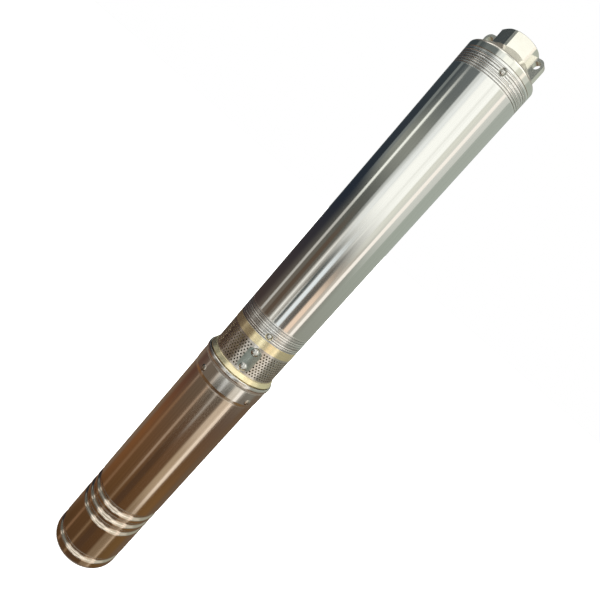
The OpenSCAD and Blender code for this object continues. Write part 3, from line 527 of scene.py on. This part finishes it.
def studio_floor():
    bpy.ops.object.select_all(action="DESELECT")
    bpy.ops.mesh.primitive_plane_add(size=FLOOR_SIZE, location=(0, 0, FLOOR_LEVEL))
    floor = bpy.context.active_object
    floor.name = "studio_floor"
    paint = bpy.data.materials.new("studio_floor")
    paint.use_nodes = True
    shader = paint.node_tree.nodes["Principled BSDF"]
    shader.inputs["Base Color"].default_value = (0.94, 0.94, 0.94, 1)
    shader.inputs["Roughness"].default_value = 0.9
    shader.inputs["Specular IOR Level"].default_value = 0.1
    shader.inputs["Emission Color"].default_value = (1, 1, 1, 1)
    shader.inputs["Emission Strength"].default_value = 0.8
    floor.data.materials.append(paint)
    floor.visible_glossy = False
    floor.visible_diffuse = False


# Studio round the pump: a room that is warm below and pale above, and a few soft boxes.
# A height is the sine of a direction's elevation. An angle is in degrees from the camera's side.
WALL_HEIGHTS = (-0.95, -0.82, -0.70, -0.62, -0.55, -0.46, -0.34, 0.0, 0.40, 0.70)
LEFT_WALL = (
    (0.22, 0.20, 0.18), (0.06, 0.035, 0.018), (0.10, 0.055, 0.025), (0.20, 0.095, 0.04),
    (0.24, 0.11, 0.045), (0.14, 0.07, 0.05), (0.075, 0.05, 0.04), (0.02, 0.027, 0.04),
    (0.05, 0.062, 0.068), (0.22, 0.20, 0.18),
)
FRONT_WALL = (
    (0.28, 0.26, 0.24), (0.07, 0.045, 0.025), (0.12, 0.065, 0.03), (0.16, 0.086, 0.037),
    (0.17, 0.097, 0.053), (0.16, 0.125, 0.095), (0.20, 0.16, 0.125), (0.115, 0.12, 0.105),
    (0.17, 0.19, 0.19), (0.60, 0.60, 0.57),
)
RIGHT_WALL = (
    (0.28, 0.26, 0.24), (0.08, 0.05, 0.028), (0.19, 0.115, 0.048), (0.22, 0.125, 0.05),
    (0.18, 0.105, 0.055), (0.15, 0.11, 0.09), (0.32, 0.32, 0.27), (0.42, 0.46, 0.40),
    (0.46, 0.49, 0.44), (0.34, 0.32, 0.29),
)
# The front wall's reach in degrees and the width of its soft ends, and the blend of the side walls
FRONT_REACH = (-85, 65)
FRONT_BLEND = 50
SIDE_BLEND = 0.6


class SoftBox(NamedTuple):
    """One light of the studio; edge and fade are the widths of its soft sides and of its soft ends."""
    middle: float
    width: float
    low: float
    high: float
    color: tuple
    edge: float = 4
    fade: float = 0.05


SOFT_BOXES = {
    "back_left": SoftBox(-150, 54, -0.66, -0.36, (0.20, 0.145, 0.105), edge=24, fade=0.14),
    "back_right": SoftBox(152, 76, -0.98, -0.36, (0.17, 0.12, 0.08), edge=24, fade=0.16),
    "front_window": SoftBox(11, 78, -0.05, 0.50, (1.18, 1.18, 1.11), fade=0.20),
    "window_lip": SoftBox(-29.5, 11, 0.02, 0.50, (0.76, 0.78, 0.75), fade=0.20),
    "window_side": SoftBox(-18, 12, -0.05, 0.50, (0.96, 0.98, 0.95), fade=0.20),
    "right_window": SoftBox(69, 40, -0.05, 0.50, (0.72, 0.73, 0.67), fade=0.20),
    "window_bar": SoftBox(17, 5, -0.05, 0.50, (1.00, 1.00, 0.93), fade=0.20),
    "window_edge": SoftBox(45, 16, -0.05, 0.50, (0.84, 0.84, 0.74), fade=0.20),
    "side_glow": SoftBox(-66, 66, 0.08, 0.20, (0.30, 0.31, 0.27), edge=14, fade=0.12),
    "far_side_strip": SoftBox(-102, 11, 0.08, 0.34, (0.22, 0.24, 0.23), fade=0.10),
    "side_strip": SoftBox(-70.5, 8, 0.0, 0.26, (1.15, 1.16, 1.06), fade=0.16),
    "low_side_strip": SoftBox(-70.5, 8, -0.29, 0.0, (0.62, 0.60, 0.55), fade=0.05),
    "ring_side_strip": SoftBox(-77, 6, -0.46, -0.30, (0.42, 0.35, 0.30)),
    "base_side_strip": SoftBox(-79, 9, -0.85, -0.46, (0.28, 0.17, 0.10)),
    "front_fill": SoftBox(21, 104, -0.405, -0.31, (0.80, 0.79, 0.72), edge=12, fade=0.03),
    "ring_fill": SoftBox(0, 56, -0.345, -0.305, (1.30, 1.27, 1.20), edge=12, fade=0.03),
    "collar_flag": SoftBox(8, 54, -0.455, -0.408, (0.045, 0.045, 0.04), edge=8, fade=0.015),
    "brown_box": SoftBox(-46, 14, -0.36, -0.04, (0.12, 0.085, 0.06), fade=0.12),
    "near_strip": SoftBox(-23, 14, -0.32, -0.06, (0.52, 0.50, 0.45), fade=0.12),
    "near_line": SoftBox(-24, 4.5, -0.32, -0.06, (1.10, 1.07, 0.99), fade=0.12),
    "second_line": SoftBox(-11.5, 4.5, -0.32, -0.18, (0.80, 0.79, 0.73), fade=0.08),
    "near_fill": SoftBox(-25, 10, -0.405, -0.32, (1.15, 1.13, 1.05), fade=0.02),
    "near_low_strip": SoftBox(-29, 7, -0.62, -0.415, (0.46, 0.36, 0.28), fade=0.03),
    "near_base_strip": SoftBox(-29, 8, -0.85, -0.62, (0.26, 0.175, 0.105)),
    "front_flag": SoftBox(-6, 22, -0.85, -0.53, (0.10, 0.058, 0.033), edge=10, fade=0.10),
    "left_flag": SoftBox(-6, 6, -0.31, -0.10, (0.08, 0.10, 0.10), fade=0.12),
    "cool_strip": SoftBox(6, 12, -0.32, -0.08, (0.98, 1.04, 1.06), fade=0.12),
    "cool_fill": SoftBox(2, 12, -0.405, -0.32, (1.50, 1.50, 1.44), fade=0.02),
    "cool_low_strip": SoftBox(6, 8, -0.51, -0.405, (0.45, 0.44, 0.42), fade=0.06),
    "right_flag": SoftBox(22, 10, -0.33, -0.10, (0.14, 0.125, 0.11), fade=0.12),
    "warm_box": SoftBox(39, 16, -0.34, -0.15, (1.02, 0.78, 0.60), fade=0.12),
    "warm_edge": SoftBox(53, 12, -0.34, -0.08, (0.62, 0.55, 0.47), fade=0.12),
    "right_fill": SoftBox(51, 30, -0.405, -0.33, (1.10, 1.08, 0.98), edge=8, fade=0.02),
    "right_box": SoftBox(50, 30, -0.54, -0.405, (0.70, 0.62, 0.52), edge=8),
    "right_low_box": SoftBox(50, 30, -0.64, -0.54, (0.54, 0.45, 0.33), edge=8),
    "right_base_box": SoftBox(50, 30, -0.85, -0.64, (0.28, 0.21, 0.14), edge=8),
    "right_strip": SoftBox(61.5, 11, -0.64, 0.50, (1.18, 1.10, 1.00)),
    "right_base_strip": SoftBox(66, 8, -0.85, -0.64, (0.56, 0.46, 0.34)),
    "high_left": SoftBox(-80, 26, 0.50, 0.90, (1.30, 1.24, 1.18), edge=8),
    "high_near": SoftBox(-29, 20, 0.50, 0.90, (1.50, 1.48, 1.42), edge=8),
    "high_right": SoftBox(48, 56, 0.50, 0.90, (1.60, 1.58, 1.50), edge=8),
}


class Studio:
    """The world's nodes: a room whose tone depends on height and side, with soft boxes in it."""

    def __init__(self):
        world = bpy.data.worlds.new("studio")
        bpy.context.scene.world = world
        world.use_nodes = True
        self.nodes = world.node_tree.nodes
        self.links = world.node_tree.links
        self.nodes.clear()
        coords = self.nodes.new("ShaderNodeTexCoord")
        split = self.nodes.new("ShaderNodeSeparateXYZ")
        self.links.new(coords.outputs["Generated"], split.inputs["Vector"])
        self.height = split.outputs["Z"]
        front = self.math("MULTIPLY", split.outputs["Y"], -1.0)
        around = self.math("ARCTAN2", split.outputs["X"], front)
        self.turn = self.math("SUBTRACT", around, VIEW_TURN)
        self.angle = self.math("MULTIPLY", self.turn, 180 / math.pi)

    def math(self, operation, *values):
        made = self.nodes.new("ShaderNodeMath")
        made.operation = operation
        for socket, value in zip(made.inputs, values):
            if isinstance(value, bpy.types.NodeSocket):
                self.links.new(value, socket)
            else:
                socket.default_value = value
        return made.outputs["Value"]

    def fade(self, value, start, end):
        made = self.nodes.new("ShaderNodeMapRange")
        made.interpolation_type = "SMOOTHSTEP"
        made.inputs["From Min"].default_value = start
        made.inputs["From Max"].default_value = end
        self.links.new(value, made.inputs["Value"])
        return made.outputs["Result"]

    def mix(self, factor, first, second):
        made = self.nodes.new("ShaderNodeMix")
        made.data_type = "RGBA"
        self.links.new(factor, made.inputs["Factor"])
        for socket, value in ((made.inputs[MIX_FIRST], first), (made.inputs[MIX_SECOND], second)):
            if isinstance(value, bpy.types.NodeSocket):
                self.links.new(value, socket)
            else:
                socket.default_value = (*value, 1)
        return made.outputs[MIX_RESULT]

    def wall(self, tones):
        ramp = self.nodes.new("ShaderNodeValToRGB")
        elements = ramp.color_ramp.elements
        while len(elements) < len(tones):
            elements.new(0.5)
        for element, height, color in zip(elements, WALL_HEIGHTS, tones):
            element.position = (height + 1) / 2
            element.color = (*color, 1)
        self.links.new(self.math("MULTIPLY_ADD", self.height, 0.5, 0.5), ramp.inputs["Fac"])
        return ramp.outputs["Color"]

    def within(self, value, low, high, edge):
        distance = self.math("ABSOLUTE", self.math("SUBTRACT", value, (low + high) / 2))
        half = (high - low) / 2
        return self.fade(distance, half + edge / 2, half - edge / 2)

    def finish(self, color):
        studio = self.nodes.new("ShaderNodeBackground")
        self.links.new(color, studio.inputs["Color"])
        white = self.nodes.new("ShaderNodeBackground")
        white.inputs["Color"].default_value = (1, 1, 1, 1)
        rays = self.nodes.new("ShaderNodeLightPath")
        pick = self.nodes.new("ShaderNodeMixShader")
        self.links.new(rays.outputs["Is Camera Ray"], pick.inputs["Fac"])
        self.links.new(studio.outputs["Background"], pick.inputs[1])
        self.links.new(white.outputs["Background"], pick.inputs[2])
        output = self.nodes.new("ShaderNodeOutputWorld")
        self.links.new(pick.outputs["Shader"], output.inputs["Surface"])


def studio_world():
    studio = Studio()
    rightward = studio.fade(studio.math("SINE", studio.turn), -SIDE_BLEND, SIDE_BLEND)
    sides = studio.mix(rightward, studio.wall(LEFT_WALL), studio.wall(RIGHT_WALL))
    frontal = studio.within(studio.angle, *FRONT_REACH, FRONT_BLEND)
    color = studio.mix(frontal, sides, studio.wall(FRONT_WALL))
    for box in SOFT_BOXES.values():
        left, right = box.middle - box.width / 2, box.middle + box.width / 2
        across = studio.within(studio.angle, left, right, box.edge)
        upright = studio.within(studio.height, box.low, box.high, box.fade)
        color = studio.mix(studio.math("MULTIPLY", across, upright), color, box.color)
    studio.finish(color)


def overhead_light():
    data = bpy.data.lights.new("overhead", "SUN")
    data.energy = SUN_STRENGTH
    data.angle = SUN_ANGLE
    light = bpy.data.objects.new("overhead", data)
    bpy.context.scene.collection.objects.link(light)
    light.rotation_euler = SUN_TILT
    light.visible_glossy = False


bpy.context.scene.view_settings.view_transform = "Standard"
photo_camera()
studio_floor()
studio_world()
overhead_light()
dress_nodes()
port_thread()
valve_coil()
